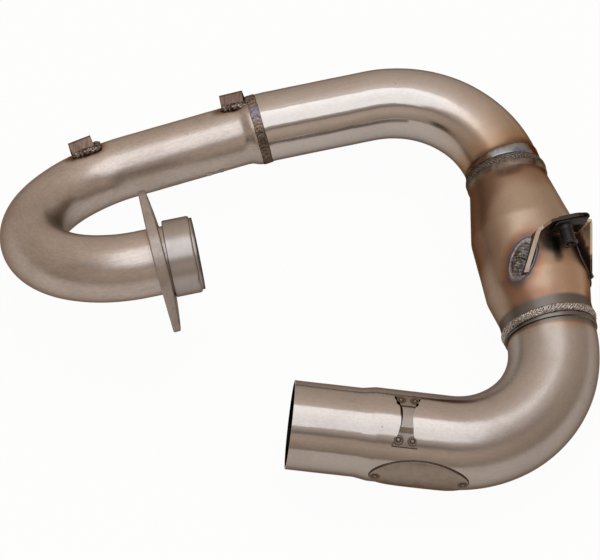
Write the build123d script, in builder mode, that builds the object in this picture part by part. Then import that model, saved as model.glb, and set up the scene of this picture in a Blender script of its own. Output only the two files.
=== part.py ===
from build123d import *
import os
from math import asin, atan, cos, degrees, radians, sin

os.makedirs("parts", exist_ok=True)

# A single-cylinder exhaust header as it lies on a table: +Z up, +X along its longest side.
# Gas runs from the port, round the return bend, through the mid pipe and the chamber, to the outlet.

# Where the port faces: the middle of its end face, the way the pipe leaves it, and the bend's roll
PORT_X = -58.5
PORT_Y = -20.4
PORT_Z = 85.5
PORT_HEADING = -169.5
PORT_PITCH = -4.3
PORT_ROLL = -150.6

# Head pipe
HEAD_OD = 40.0
WALL = 1.2
PORT_STRAIGHT = 32.1
RETURN_RADIUS = 66.0
RETURN_FIRST = 115.0
RETURN_TWIST = -5.0
RETURN_SECOND = 63.5
UPPER_STRAIGHT = 88.0
LIP_OD = 43.0
LIP_LENGTH = 1.6
FLARE_LENGTH = 6.5
JOINT_LAND = 4.0

# Port collar and loose flange
COLLAR_OD = 46.0
COLLAR_LENGTH = 16.0
COLLAR_ROUND = 1.5
COLLAR_BREAK = 0.4
FLANGE_GAP = 1.0
FLANGE_THICKNESS = 7.0
FLANGE_CROWN = 2.8
FLANGE_TILT = 3.0
FLANGE_CLEARANCE = 0.6
FLANGE_WAIST_R = 29.0
STUD_SPACING = 68.0
STUD_HOLE_R = 4.5
STUD_EAR_R = 9.0
FLANGE_TURN = 119.0
FLANGE_ROUND = 0.8

# Mid pipe, which grows through its elbow
MID_OD = 45.0
MID_END_OD = 48.2
KINK_ROLL = 63.0
KINK_RADIUS = 60.0
KINK_ANGLE = 4.5
MID_STRAIGHT = 64.0
ELBOW_ROLL = -26.5
ELBOW_RADIUS = 74.0
ELBOW_ANGLE = 89.5
SPIGOT_LENGTH = 8.0
SLIP_CLEARANCE = 0.1

# Resonance chamber
CHAMBER_LENGTH = 110.0
CHAMBER_OD = 65.0
INLET_NECK = 7.0
INLET_SHOULDER = 33.0
OUTLET_SHOULDER = 17.0
OUTLET_NECK = 7.0
SHOULDER_ROUND = 14.0

# Outlet pipe
OUT_OD = 55.0
TAIL_ROLL = -10.0
TAIL_RADIUS = 63.0
TAIL_ANGLE = 106.0
TAIL_STRAIGHT = 92.0
SLIP_OD = 52.4
SLIP_LENGTH = 40.0
SLIP_CONE = 8.0
RIM_HEIGHT = 1.1
RIM_WIDTH = 2.4

# Weld beads round the joints
MID_BEAD_WIDTH = 6.0
MID_BEAD_HEIGHT = 0.5
INLET_BEAD_WIDTH = 5.0
INLET_BEAD_HEIGHT = 1.5
OUTLET_BEAD_WIDTH = 5.0
OUTLET_BEAD_HEIGHT = 1.8

# Heat-shield tabs: bent sheet over the back of the head pipe
TAB_SHEET = 1.2
TAB_LENGTH = 15.0
TAB_RISE = 9.5
TAB_NEAR_ANGLE = 14.0
TAB_FAR_ANGLE = 16.0
TAB_FOLD = 1.5
TAB_AZIMUTH = -97.0
FRONT_TAB_BACK = 21.0
FRONT_TAB_YAW = 10.0
REAR_TAB_ALONG = 76.5
REAR_TAB_YAW = 10.0
TAB_BEAD_R = 1.6
TAB_BEAD_LENGTH = 17.0
TACK_ALONG = (49.5, 57.5)
TACK_AZIMUTH = 50.0
TACK_R = 2.6
TACK_HEIGHT = 1.0

# Heat-shield bracket on the chamber: a bent strap standing on its edge, with a tall sloping tongue in its middle
BRACKET_AZIMUTH = -120.8
BRACKET_SHEET = 2.0
BRACKET_ALONG = 58.0
BRACKET_FLAT = 30.0
BRACKET_SPREAD = 25.2
BRACKET_LEG = 25.0
BRACKET_FOLD = 4.0
BRACKET_LEFT_RISE = 5.0
BRACKET_RIGHT_RISE = 1.5
BRACKET_END_RISE = 2.0
TONGUE_RISE = 21.0
TONGUE_LEFT_BASE = 13.0
TONGUE_SHOULDER = 11.5
TONGUE_SHOULDER_RISE = 12.6
TONGUE_LEFT_TOP = -2.5
TONGUE_RIGHT_BASE = 10.0
TONGUE_RIGHT_TOP = 6.5
TONGUE_ROUND = 1.2
BRACKET_BEAD_BULGE = 9.0
BRACKET_BEAD_LENGTH = 28.0
BRACKET_BEAD_PAST = 4.0
BRACKET_BEAD_HEIGHT = 1.6

# Clip nut pushed over the tongue's side, with its fold along that side
SCREW_RISE = 8.5
CLIP_SHEET = 0.9
CLIP_LOW = 6.0
CLIP_HIGH = 11.0
CLIP_DROP = 0.7
CLIP_REACH = 8.5
CLIP_CLEARANCE = 0.15
CLIP_LOOP = 1.6
BARREL_R = 4.2
BARREL_LENGTH = 12.0
THREAD_R = 2.5
SCREW_HOLE_R = 3.3

# Spring-hook strap and oval plate on the outlet pipe
STRAP_SHEET = 1.2
STRAP_ALONG = 26.5
STRAP_AZIMUTH = -92.0
STRAP_WIDTH = 15.0
STRAP_WAIST = 6.0
STRAP_HALF_SPAN = 35.0
STRAP_PAD_FROM = 17.0
STRAP_RISE = 2.4
STRAP_RAMP = 6.0
PLATE_ALONG = 15.0
PLATE_AZIMUTH = -172.0
PLATE_LENGTH = 58.0
PLATE_WIDTH = 28.0
PLATE_SHEET = 1.0
SPOT_R = 2.4
SPOT_HEIGHT = 0.5
SPOT_INSET = 3.4


def bent(at, radius, angle):
    """The frame at the far end of a bend toward the frame's X."""
    turn = radians(angle)
    return Plane(at.location * Location((radius * (1 - cos(turn)), 0, radius * sin(turn)), (0, angle, 0)))


def rolled(at, angle):
    """The same frame turned about the pipe."""
    return Plane(at.location * Location((0, 0, 0), (0, 0, angle)))


def facing(at, azimuth, along=0):
    """A frame at a station along the pipe, with X out of the pipe at an azimuth."""
    return rolled(at.offset(along), azimuth)


def profile_plane(at):
    """A plane through the pipe's axis for turned profiles: X is the radius, Y runs along the pipe."""
    return Plane(origin=at.origin, x_dir=at.x_dir, z_dir=-at.y_dir)


def pipe_axis(at):
    """The pipe's axis at a frame."""
    return Axis(at.origin, at.z_dir)


def bend_arc(at, radius, angle):
    """The centreline of a bend."""
    half = bent(at, radius, angle / 2)
    return ThreePointArc(at.origin, half.origin, bent(at, radius, angle).origin)


def ring(outer, inner):
    """A pipe's section."""
    Circle(outer)
    Circle(inner, mode=Mode.SUBTRACT)


# Frames along the pipe
heading = Vector(1, 0, 0).rotate(Axis.Y, -PORT_PITCH).rotate(Axis.Z, PORT_HEADING)
level = Vector(0, 1, 0).rotate(Axis.Z, PORT_HEADING)
port_level = Plane(origin=(PORT_X, PORT_Y, PORT_Z), x_dir=level, z_dir=heading)
port = rolled(port_level, PORT_ROLL)
return_in = port.offset(PORT_STRAIGHT)
return_mid = rolled(bent(return_in, RETURN_RADIUS, RETURN_FIRST), RETURN_TWIST)
return_out = bent(return_mid, RETURN_RADIUS, RETURN_SECOND)
mid_joint = return_out.offset(UPPER_STRAIGHT)
kink_in = rolled(mid_joint.offset(JOINT_LAND), KINK_ROLL)
kink_out = bent(kink_in, KINK_RADIUS, KINK_ANGLE)
elbow_in = rolled(kink_out.offset(MID_STRAIGHT), ELBOW_ROLL)
chamber_in = bent(elbow_in, ELBOW_RADIUS, ELBOW_ANGLE)
chamber_out = chamber_in.offset(CHAMBER_LENGTH)
tail_in = rolled(chamber_out, TAIL_ROLL)
tail_out = bent(tail_in, TAIL_RADIUS, TAIL_ANGLE)
outlet = tail_out.offset(TAIL_STRAIGHT)

head_r = HEAD_OD / 2
mid_r = MID_OD / 2
mid_end_r = MID_END_OD / 2
out_r = OUT_OD / 2
slip_r = SLIP_OD / 2
chamber_r = CHAMBER_OD / 2
inlet_neck_r = mid_end_r + SLIP_CLEARANCE + WALL
outlet_neck_r = out_r + SLIP_CLEARANCE + WALL
flare_start = mid_joint.offset(-JOINT_LAND - FLARE_LENGTH)
chamber_end = CHAMBER_LENGTH - OUTLET_BEAD_WIDTH

# Head pipe: lip over the collar, return bend, and an end opened out to the mid pipe's size
with BuildPart() as head_pipe:
    with BuildLine() as head_line:
        Line(port.origin, return_in.origin)
        bend_arc(return_in, RETURN_RADIUS, RETURN_FIRST)
        bend_arc(return_mid, RETURN_RADIUS, RETURN_SECOND)
        Line(return_out.origin, flare_start.origin)
    with BuildSketch(port):
        ring(head_r, head_r - WALL)
    sweep(path=head_line.wire())
    with BuildSketch(port.offset(-LIP_LENGTH)):
        ring(LIP_OD / 2, head_r - WALL)
    extrude(amount=LIP_LENGTH)
    with BuildSketch(profile_plane(flare_start)):
        with BuildLine():
            Polyline(
                (head_r - WALL, 0),
                (head_r, 0),
                (mid_r, FLARE_LENGTH),
                (mid_r, FLARE_LENGTH + JOINT_LAND),
                (mid_r - WALL, FLARE_LENGTH + JOINT_LAND),
                (mid_r - WALL, FLARE_LENGTH),
                close=True,
            )
        make_face()
    revolve(axis=pipe_axis(flare_start))
head_pipe.part.label = "head_pipe"
export_step(head_pipe.part, "parts/head_pipe.step")

# The head pipe's outer form, filled, to which the tabs and their welds are cut
with BuildPart() as head_form:
    with BuildSketch(port):
        Circle(head_r)
    sweep(path=head_line.wire())
    with BuildSketch(profile_plane(flare_start)):
        with BuildLine():
            Polyline(
                (0, 0),
                (head_r, 0),
                (mid_r, FLARE_LENGTH),
                (mid_r, FLARE_LENGTH + JOINT_LAND),
                (0, FLARE_LENGTH + JOINT_LAND),
                close=True,
            )
        make_face()
    revolve(axis=pipe_axis(flare_start))

# Turned collar on the port end
with BuildPart() as port_collar:
    with BuildSketch(port):
        ring(COLLAR_OD / 2, head_r)
    extrude(amount=COLLAR_LENGTH)
    rims = port_collar.edges().filter_by(GeomType.CIRCLE).group_by(SortBy.RADIUS)[-1]
    fillet(rims.sort_by(pipe_axis(port))[0], radius=COLLAR_ROUND)
    rims = port_collar.edges().filter_by(GeomType.CIRCLE).group_by(SortBy.RADIUS)[-1]
    chamfer(rims.sort_by(pipe_axis(port))[-1], length=COLLAR_BREAK)
port_collar.part.label = "port_collar"
export_step(port_collar.part, "parts/port_collar.step")

# Loose two-stud flange, which turns on the pipe behind the collar and leans a little. Its front is crowned.
flange_middle = facing(port, FLANGE_TURN, COLLAR_LENGTH + FLANGE_GAP + FLANGE_THICKNESS / 2)
flange_lean = Plane(flange_middle.location * Location((0, 0, 0), (0, FLANGE_TILT, 0)))
flange_seat = flange_lean.offset(-FLANGE_THICKNESS / 2)
flange_side = Plane(origin=flange_seat.origin, x_dir=flange_seat.x_dir, z_dir=-flange_seat.y_dir)
flange_half = STUD_SPACING / 2 + STUD_EAR_R
with BuildPart() as port_flange:
    with BuildSketch(flange_seat):
        Circle(FLANGE_WAIST_R)
        with Locations((-STUD_SPACING / 2, 0), (STUD_SPACING / 2, 0)):
            Circle(STUD_EAR_R)
        make_hull()
    extrude(amount=FLANGE_THICKNESS)
    with BuildSketch(flange_side):
        with BuildLine():
            ThreePointArc((-flange_half, FLANGE_CROWN), (0, 0), (flange_half, FLANGE_CROWN))
            Polyline(
                (flange_half, FLANGE_CROWN),
                (flange_half, FLANGE_THICKNESS),
                (-flange_half, FLANGE_THICKNESS),
                (-flange_half, FLANGE_CROWN),
            )
        make_face()
    extrude(amount=FLANGE_WAIST_R, both=True, mode=Mode.INTERSECT)
    broad_faces = port_flange.faces().sort_by(SortBy.AREA)[-2:]
    fillet(broad_faces.edges(), radius=FLANGE_ROUND)
    with BuildSketch(flange_seat):
        Circle(head_r + FLANGE_CLEARANCE)
        with Locations((-STUD_SPACING / 2, 0), (STUD_SPACING / 2, 0)):
            Circle(STUD_HOLE_R)
    extrude(amount=FLANGE_THICKNESS, mode=Mode.SUBTRACT)
port_flange.part.label = "port_flange"
export_step(port_flange.part, "parts/port_flange.step")

# Mid pipe: a slight kink at the joint, then a tapered elbow that plugs into the chamber
with BuildPart() as mid_pipe:
    with BuildLine() as mid_line:
        Line(mid_joint.origin, kink_in.origin)
        bend_arc(kink_in, KINK_RADIUS, KINK_ANGLE)
        Line(kink_out.origin, elbow_in.origin)
    with BuildSketch(mid_joint):
        ring(mid_r, mid_r - WALL)
    sweep(path=mid_line.wire())
    with BuildLine() as elbow_line:
        bend_arc(elbow_in, ELBOW_RADIUS, ELBOW_ANGLE)
    for inset, mode in ((0, Mode.ADD), (WALL, Mode.SUBTRACT)):
        with BuildSketch(elbow_in):
            Circle(mid_r - inset)
        with BuildSketch(chamber_in):
            Circle(mid_end_r - inset)
        sweep(path=elbow_line.wire(), multisection=True, mode=mode)
    with BuildSketch(chamber_in):
        ring(mid_end_r, mid_end_r - WALL)
    extrude(amount=SPIGOT_LENGTH)
mid_pipe.part.label = "mid_pipe"
export_step(mid_pipe.part, "parts/mid_pipe.step")

# Resonance chamber: a turned shell with a long inlet shoulder and a short outlet shoulder
def shell_profile():
    """The middle of the shell's wall, from the inlet neck to the outlet neck."""
    FilletPolyline(
        (inlet_neck_r - WALL / 2, 0),
        (inlet_neck_r - WALL / 2, INLET_NECK),
        (chamber_r - WALL / 2, INLET_NECK + INLET_SHOULDER),
        (chamber_r - WALL / 2, chamber_end - OUTLET_NECK - OUTLET_SHOULDER),
        (outlet_neck_r - WALL / 2, chamber_end - OUTLET_NECK),
        (outlet_neck_r - WALL / 2, chamber_end),
        radius=SHOULDER_ROUND,
    )


with BuildPart() as resonance_chamber:
    with BuildSketch(profile_plane(chamber_in)):
        with BuildLine():
            shell_profile()
        trace(line_width=WALL)
    revolve(axis=pipe_axis(chamber_in))
resonance_chamber.part.label = "resonance_chamber"
export_step(resonance_chamber.part, "parts/resonance_chamber.step")

# The chamber's outer form, filled, to which the bracket and its welds are cut
with BuildPart() as chamber_form:
    with BuildSketch(profile_plane(chamber_in)):
        with BuildLine():
            shell_profile()
            Polyline(
                (inlet_neck_r - WALL / 2, 0),
                (0, 0),
                (0, chamber_end),
                (outlet_neck_r - WALL / 2, chamber_end),
            )
        make_face()
    revolve(axis=pipe_axis(chamber_in))
    add(resonance_chamber.part)

# Outlet pipe: plugs into the chamber, a raised rim below the bead, the elbow and a reduced slip end
rim_at = CHAMBER_LENGTH - chamber_end
tail_start = chamber_out.offset(-rim_at - OUTLET_NECK)
slip_in = outlet.offset(-SLIP_LENGTH - SLIP_CONE)
with BuildPart() as outlet_pipe:
    with BuildLine() as tail_line:
        Line(tail_start.origin, tail_in.origin)
        bend_arc(tail_in, TAIL_RADIUS, TAIL_ANGLE)
        Line(tail_out.origin, slip_in.origin)
    with BuildSketch(tail_start):
        ring(out_r, out_r - WALL)
    sweep(path=tail_line.wire())
    with BuildSketch(chamber_out):
        ring(out_r + RIM_HEIGHT, out_r - WALL / 2)
    extrude(amount=RIM_WIDTH)
    with BuildSketch(profile_plane(slip_in)):
        with BuildLine():
            Polyline(
                (out_r - WALL, 0),
                (out_r, 0),
                (slip_r, SLIP_CONE),
                (slip_r, SLIP_CONE + SLIP_LENGTH),
                (slip_r - WALL, SLIP_CONE + SLIP_LENGTH),
                (slip_r - WALL, SLIP_CONE),
                close=True,
            )
        make_face()
    revolve(axis=pipe_axis(slip_in))
outlet_pipe.part.label = "outlet_pipe"
export_step(outlet_pipe.part, "parts/outlet_pipe.step")

# Weld beads round the three pipe joints: crowned rings. The inlet bead clears the end of the elbow.
mid_bead_at = mid_joint.offset(-MID_BEAD_WIDTH / 2)
inlet_bead_at = chamber_in.offset(-INLET_BEAD_WIDTH)
outlet_bead_at = chamber_in.offset(chamber_end)
beads = (
    ("mid_joint", mid_bead_at, mid_r, MID_BEAD_WIDTH, MID_BEAD_HEIGHT),
    ("chamber_inlet", inlet_bead_at, mid_end_r + SLIP_CLEARANCE, INLET_BEAD_WIDTH, INLET_BEAD_HEIGHT),
    ("chamber_outlet", outlet_bead_at, out_r, OUTLET_BEAD_WIDTH, OUTLET_BEAD_HEIGHT),
)
for joint_name, bead_at, bead_r, bead_width, bead_height in beads:
    with BuildPart() as bead:
        with BuildSketch(profile_plane(bead_at)):
            with BuildLine():
                Line((bead_r, bead_width), (bead_r, 0))
                ThreePointArc((bead_r, 0), (bead_r + bead_height, bead_width / 2), (bead_r, bead_width))
            make_face()
        revolve(axis=pipe_axis(bead_at))
    bead.part.label = f"{joint_name}_weld"
    export_step(bead.part, f"parts/{joint_name}_weld.step")

# Heat-shield tabs: folded sheet straddling the head pipe's back, each with a fillet weld at its near foot
front_tab_frame = bent(return_mid, RETURN_RADIUS, RETURN_SECOND - FRONT_TAB_BACK)
tabs = (
    ("front", facing(front_tab_frame, TAB_AZIMUTH), FRONT_TAB_YAW),
    ("rear", facing(return_out, TAB_AZIMUTH, REAR_TAB_ALONG), REAR_TAB_YAW),
)
near_turn = radians(TAB_NEAR_ANGLE)
far_turn = radians(TAB_FAR_ANGLE)
near_foot = (head_r * cos(near_turn), head_r * sin(near_turn))
far_foot = (head_r * cos(far_turn), -head_r * sin(far_turn))
for tab_name, tab_at, tab_yaw in tabs:
    # The tab is turned about the line that stands out of the pipe under its ridge
    tab_frame = Plane(tab_at.location * Location((0, 0, 0), (-tab_yaw, 0, 0)))
    with BuildPart() as tab:
        with BuildSketch(tab_frame):
            with BuildLine():
                FilletPolyline(near_foot, (head_r + TAB_RISE, 0), far_foot, radius=TAB_FOLD)
            trace(line_width=TAB_SHEET)
        extrude(amount=TAB_LENGTH / 2, both=True)
        add(head_form.part, mode=Mode.SUBTRACT)
    tab.part.label = f"{tab_name}_shield_tab"
    export_step(tab.part, f"parts/{tab_name}_shield_tab.step")
    with BuildPart() as tab_bead:
        with BuildSketch(tab_frame):
            with Locations(near_foot):
                Circle(TAB_BEAD_R)
        extrude(amount=TAB_BEAD_LENGTH / 2, both=True)
        add(head_form.part, mode=Mode.SUBTRACT)
        add(tab.part, mode=Mode.SUBTRACT)
    tab_bead.part.label = f"{tab_name}_tab_weld"
    export_step(tab_bead.part, f"parts/{tab_name}_tab_weld.step")

# Two tack welds under the head pipe
with BuildPart() as underside_tack_welds:
    for tack_along in TACK_ALONG:
        tack_at = facing(return_out, TACK_AZIMUTH, tack_along)
        tack_seat = Plane(origin=tack_at.from_local_coords(Vector(head_r, 0, 0)), z_dir=tack_at.x_dir)
        with BuildSketch(tack_seat):
            Circle(TACK_R)
        extrude(amount=TACK_HEIGHT, taper=40)
underside_tack_welds.part.label = "underside_tack_welds"
export_step(underside_tack_welds.part, "parts/underside_tack_welds.step")

# Heat-shield bracket: plan and front outline of a strap folded round the chamber's flank
bracket_frame = facing(chamber_in, BRACKET_AZIMUTH)
bracket_plan = Plane(origin=bracket_frame.origin, x_dir=bracket_frame.y_dir, z_dir=bracket_frame.x_dir)
bracket_front = Plane(origin=bracket_frame.origin, x_dir=bracket_frame.y_dir, z_dir=-bracket_frame.z_dir)
leg_end = BRACKET_ALONG + BRACKET_LEG
tongue_top = chamber_r + TONGUE_RISE
shoulder_height = chamber_r + TONGUE_SHOULDER_RISE
screw_height = chamber_r + SCREW_RISE
end_reach = BRACKET_SPREAD + BRACKET_SHEET
end_height = (chamber_r**2 - BRACKET_SPREAD**2) ** 0.5 + BRACKET_END_RISE
with BuildPart() as shield_bracket:
    with BuildSketch(bracket_plan):
        with BuildLine():
            FilletPolyline(
                (BRACKET_SPREAD, leg_end),
                (BRACKET_FLAT / 2, BRACKET_ALONG),
                (-BRACKET_FLAT / 2, BRACKET_ALONG),
                (-BRACKET_SPREAD, leg_end),
                radius=BRACKET_FOLD,
            )
        trace(line_width=BRACKET_SHEET)
    extrude(amount=tongue_top)
    with BuildSketch(bracket_front):
        with BuildLine():
            FilletPolyline(
                (end_reach, 0),
                (end_reach, end_height),
                (TONGUE_LEFT_BASE, chamber_r + BRACKET_LEFT_RISE),
                (TONGUE_SHOULDER, shoulder_height),
                (TONGUE_LEFT_TOP, tongue_top),
                (-TONGUE_RIGHT_TOP, tongue_top),
                (-TONGUE_RIGHT_BASE, chamber_r + BRACKET_RIGHT_RISE),
                (-end_reach, end_height),
                (-end_reach, 0),
                radius=TONGUE_ROUND,
            )
            Line((-end_reach, 0), (end_reach, 0))
        make_face()
    extrude(amount=-leg_end - BRACKET_LEG, mode=Mode.INTERSECT)
    with BuildSketch(bracket_front):
        with Locations((0, screw_height)):
            Circle(SCREW_HOLE_R)
    extrude(amount=-leg_end, mode=Mode.SUBTRACT)
    add(chamber_form.part, mode=Mode.SUBTRACT)
shield_bracket.part.label = "shield_bracket"
export_step(shield_bracket.part, "parts/shield_bracket.step")

# Fillet welds along the outside of the bracket's two legs and round their ends
leg_run = (BRACKET_SPREAD - BRACKET_FLAT / 2, BRACKET_LEG)
leg_size = (leg_run[0] ** 2 + leg_run[1] ** 2) ** 0.5
leg_along = Vector(leg_run[0], leg_run[1]) / leg_size
leg_out = Vector(leg_along.Y, -leg_along.X)
foot_end = Vector(BRACKET_SPREAD, leg_end) + leg_out * (BRACKET_SHEET / 2) + leg_along * BRACKET_BEAD_PAST
foot_start = foot_end - leg_along * BRACKET_BEAD_LENGTH
foot_bulge = (foot_end + foot_start) / 2 + leg_out * BRACKET_BEAD_BULGE
for side_name, side in (("left", 1), ("right", -1)):
    start, bulge, end = (Vector(side * point.X, point.Y) for point in (foot_start, foot_bulge, foot_end))
    with BuildPart() as leg_bead:
        with BuildSketch(bracket_plan):
            with BuildLine():
                Line(end, start)
                ThreePointArc(start, bulge, end)
            make_face()
        extrude(amount=tongue_top)
        with BuildSketch(chamber_in):
            Circle(chamber_r + BRACKET_BEAD_HEIGHT)
        extrude(amount=CHAMBER_LENGTH, mode=Mode.INTERSECT)
        add(chamber_form.part, mode=Mode.SUBTRACT)
        add(shield_bracket.part, mode=Mode.SUBTRACT)
    leg_bead.part.label = f"bracket_weld_{side_name}"
    export_step(leg_bead.part, f"parts/bracket_weld_{side_name}.step")

# Clip nut: a folded spring-steel leaf over the tongue's right side and leaning with it, with a threaded barrel
side_slope = (TONGUE_RIGHT_BASE - TONGUE_RIGHT_TOP) / (TONGUE_RISE - BRACKET_RIGHT_RISE)
side_reach = TONGUE_RIGHT_BASE - side_slope * (SCREW_RISE - BRACKET_RIGHT_RISE)
clip_lean = atan(side_slope)
clip_gap = BRACKET_SHEET / 2 + CLIP_CLEARANCE
clip_offset = clip_gap + CLIP_SHEET / 2
clip_edge = side_reach * cos(clip_lean) + CLIP_LOOP
clip_level = bracket_plan.offset(screw_height)
clip_plan = Plane(clip_level.location * Location((0, 0, 0), (0, degrees(clip_lean), 0)))
barrel_seat = bracket_front.offset(-BRACKET_ALONG - clip_offset)
with BuildPart() as clip_nut:
    with BuildSketch(clip_plan.offset(-CLIP_LOW)):
        with BuildLine():
            Line((CLIP_REACH, BRACKET_ALONG - clip_offset), (-clip_edge, BRACKET_ALONG - clip_offset))
            ThreePointArc(
                (-clip_edge, BRACKET_ALONG - clip_offset),
                (-clip_edge - clip_offset, BRACKET_ALONG),
                (-clip_edge, BRACKET_ALONG + clip_offset),
            )
            Line((-clip_edge, BRACKET_ALONG + clip_offset), (CLIP_REACH, BRACKET_ALONG + clip_offset))
        trace(line_width=CLIP_SHEET)
    extrude(amount=CLIP_LOW + CLIP_HIGH)
    # The leaf's top stays below the tongue's sloping shoulder
    with BuildSketch(bracket_front):
        with BuildLine():
            Polyline(
                (TONGUE_LEFT_TOP, tongue_top - CLIP_DROP),
                (TONGUE_SHOULDER, shoulder_height - CLIP_DROP),
                (TONGUE_SHOULDER, tongue_top + CLIP_HIGH),
                (TONGUE_LEFT_TOP, tongue_top + CLIP_HIGH),
                close=True,
            )
        make_face()
    extrude(amount=-leg_end, mode=Mode.SUBTRACT)
    with BuildSketch(barrel_seat):
        with Locations((0, screw_height)):
            Circle(BARREL_R)
    extrude(amount=-BARREL_LENGTH)
    with BuildSketch(bracket_front.offset(-BRACKET_ALONG)):
        with Locations((0, screw_height)):
            Circle(SCREW_HOLE_R)
    extrude(amount=clip_offset + CLIP_SHEET, mode=Mode.SUBTRACT)
    with BuildSketch(bracket_front.offset(-BRACKET_ALONG)):
        with Locations((0, screw_height)):
            Circle(THREAD_R)
    extrude(amount=-clip_offset - BARREL_LENGTH, mode=Mode.SUBTRACT)
clip_nut.part.label = "clip_nut"
export_step(clip_nut.part, "parts/clip_nut.step")

# Spring-hook strap: pads on the pipe with a raised waist between them
strap_frame = facing(tail_out, STRAP_AZIMUTH, STRAP_ALONG)
pad_r = out_r + STRAP_SHEET / 2
waist_r = pad_r + STRAP_RISE
pad_sweep = STRAP_HALF_SPAN - STRAP_PAD_FROM
waist_half = STRAP_PAD_FROM - STRAP_RAMP
waist_end = (waist_r * cos(radians(waist_half)), waist_r * sin(radians(waist_half)))
pad_end = (pad_r * cos(radians(STRAP_PAD_FROM)), pad_r * sin(radians(STRAP_PAD_FROM)))
strap_face = Plane(origin=strap_frame.origin, x_dir=strap_frame.y_dir, z_dir=strap_frame.x_dir)
strap_half = out_r * sin(radians(STRAP_HALF_SPAN))
with BuildPart() as spring_hook_strap:
    with BuildSketch(strap_frame):
        with BuildLine():
            CenterArc((0, 0), waist_r, -waist_half, 2 * waist_half)
            CenterArc((0, 0), pad_r, STRAP_PAD_FROM, pad_sweep)
            CenterArc((0, 0), pad_r, -STRAP_HALF_SPAN, pad_sweep)
            Line(waist_end, pad_end)
            Line((waist_end[0], -waist_end[1]), (pad_end[0], -pad_end[1]))
        trace(line_width=STRAP_SHEET)
        Circle(out_r, mode=Mode.SUBTRACT)
    extrude(amount=STRAP_WIDTH / 2, both=True)
    with BuildSketch(strap_face):
        with BuildLine():
            for end_side in (1, -1):
                ThreePointArc(
                    (-strap_half, end_side * STRAP_WIDTH / 2),
                    (0, end_side * STRAP_WAIST / 2),
                    (strap_half, end_side * STRAP_WIDTH / 2),
                )
            Line((strap_half, STRAP_WIDTH / 2), (strap_half, -STRAP_WIDTH / 2))
            Line((-strap_half, STRAP_WIDTH / 2), (-strap_half, -STRAP_WIDTH / 2))
        make_face()
    extrude(amount=2 * out_r, mode=Mode.INTERSECT)
spring_hook_strap.part.label = "spring_hook_strap"
export_step(spring_hook_strap.part, "parts/spring_hook_strap.step")

# Spot welds on the strap's four corners
spot_half = STRAP_WIDTH / 2 - SPOT_INSET
spot_turn = STRAP_HALF_SPAN - (STRAP_HALF_SPAN - STRAP_PAD_FROM) / 2
with BuildPart() as strap_spot_welds:
    for spot_side in (1, -1):
        for spot_along in (spot_half, -spot_half):
            spot_at = facing(strap_frame, spot_side * spot_turn, spot_along)
            spot_base = spot_at.from_local_coords(Vector(out_r + STRAP_SHEET, 0, 0))
            with BuildSketch(Plane(origin=spot_base, z_dir=spot_at.x_dir)):
                Circle(SPOT_R)
            extrude(amount=SPOT_HEIGHT, taper=30)
strap_spot_welds.part.label = "strap_spot_welds"
export_step(strap_spot_welds.part, "parts/strap_spot_welds.step")

# Bare oval plate, rolled to the outlet pipe
plate_frame = facing(tail_out, PLATE_AZIMUTH, PLATE_ALONG)
plate_face = Plane(origin=plate_frame.origin, x_dir=plate_frame.z_dir, z_dir=plate_frame.x_dir)
tail_pivot = Axis(tail_out.from_local_coords(Vector(TAIL_RADIUS, 0, 0)), tail_out.y_dir)
with BuildPart() as plate_seat:
    with BuildSketch(tail_out):
        Circle(out_r)
    revolve(axis=tail_pivot, revolution_arc=-TAIL_ANGLE / 2)
    with BuildSketch(tail_out):
        Circle(out_r)
    extrude(amount=PLATE_LENGTH)
with BuildPart() as oval_plate:
    with BuildSketch(tail_out):
        Circle(out_r + PLATE_SHEET)
    revolve(axis=tail_pivot, revolution_arc=-TAIL_ANGLE / 2)
    with BuildSketch(tail_out):
        Circle(out_r + PLATE_SHEET)
    extrude(amount=PLATE_LENGTH)
    with BuildSketch(plate_face):
        Ellipse(PLATE_LENGTH / 2, PLATE_WIDTH / 2)
    extrude(amount=2 * out_r, mode=Mode.INTERSECT)
    add(plate_seat.part, mode=Mode.SUBTRACT)
oval_plate.part.label = "oval_plate"
export_step(oval_plate.part, "parts/oval_plate.step")

# Spot welds at the plate's two tips, one on the straight and one on the bend
tip_reach = PLATE_LENGTH / 2 - SPOT_INSET
tip_turn = degrees(asin((tip_reach - PLATE_ALONG) / (TAIL_RADIUS + out_r)))
tip_bend = bent(tail_in, TAIL_RADIUS, TAIL_ANGLE - tip_turn)
with BuildPart() as plate_spot_welds:
    for tip_at in (plate_frame.offset(tip_reach), facing(tip_bend, PLATE_AZIMUTH)):
        tip_base = tip_at.from_local_coords(Vector(out_r + PLATE_SHEET, 0, 0))
        with BuildSketch(Plane(origin=tip_base, z_dir=tip_at.x_dir)):
            Circle(SPOT_R)
        extrude(amount=SPOT_HEIGHT, taper=30)
plate_spot_welds.part.label = "plate_spot_welds"
export_step(plate_spot_welds.part, "parts/plate_spot_welds.step")
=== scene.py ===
import math

import bpy
import numpy as np
from mathutils import Matrix, Vector, noise


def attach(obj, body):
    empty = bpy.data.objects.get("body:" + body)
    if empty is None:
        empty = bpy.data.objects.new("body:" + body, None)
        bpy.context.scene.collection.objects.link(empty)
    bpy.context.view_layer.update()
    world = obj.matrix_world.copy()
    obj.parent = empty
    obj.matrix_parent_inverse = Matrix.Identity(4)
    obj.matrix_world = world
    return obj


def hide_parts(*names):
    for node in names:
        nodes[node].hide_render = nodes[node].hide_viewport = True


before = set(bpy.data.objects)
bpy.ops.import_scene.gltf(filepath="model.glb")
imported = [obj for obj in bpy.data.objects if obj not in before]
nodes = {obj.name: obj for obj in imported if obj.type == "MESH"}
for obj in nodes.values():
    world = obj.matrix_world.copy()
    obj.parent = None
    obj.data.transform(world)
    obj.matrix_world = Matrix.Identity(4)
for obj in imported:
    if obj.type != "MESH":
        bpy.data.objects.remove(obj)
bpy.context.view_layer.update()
scene = bpy.context.scene
MM = 0.001

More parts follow.
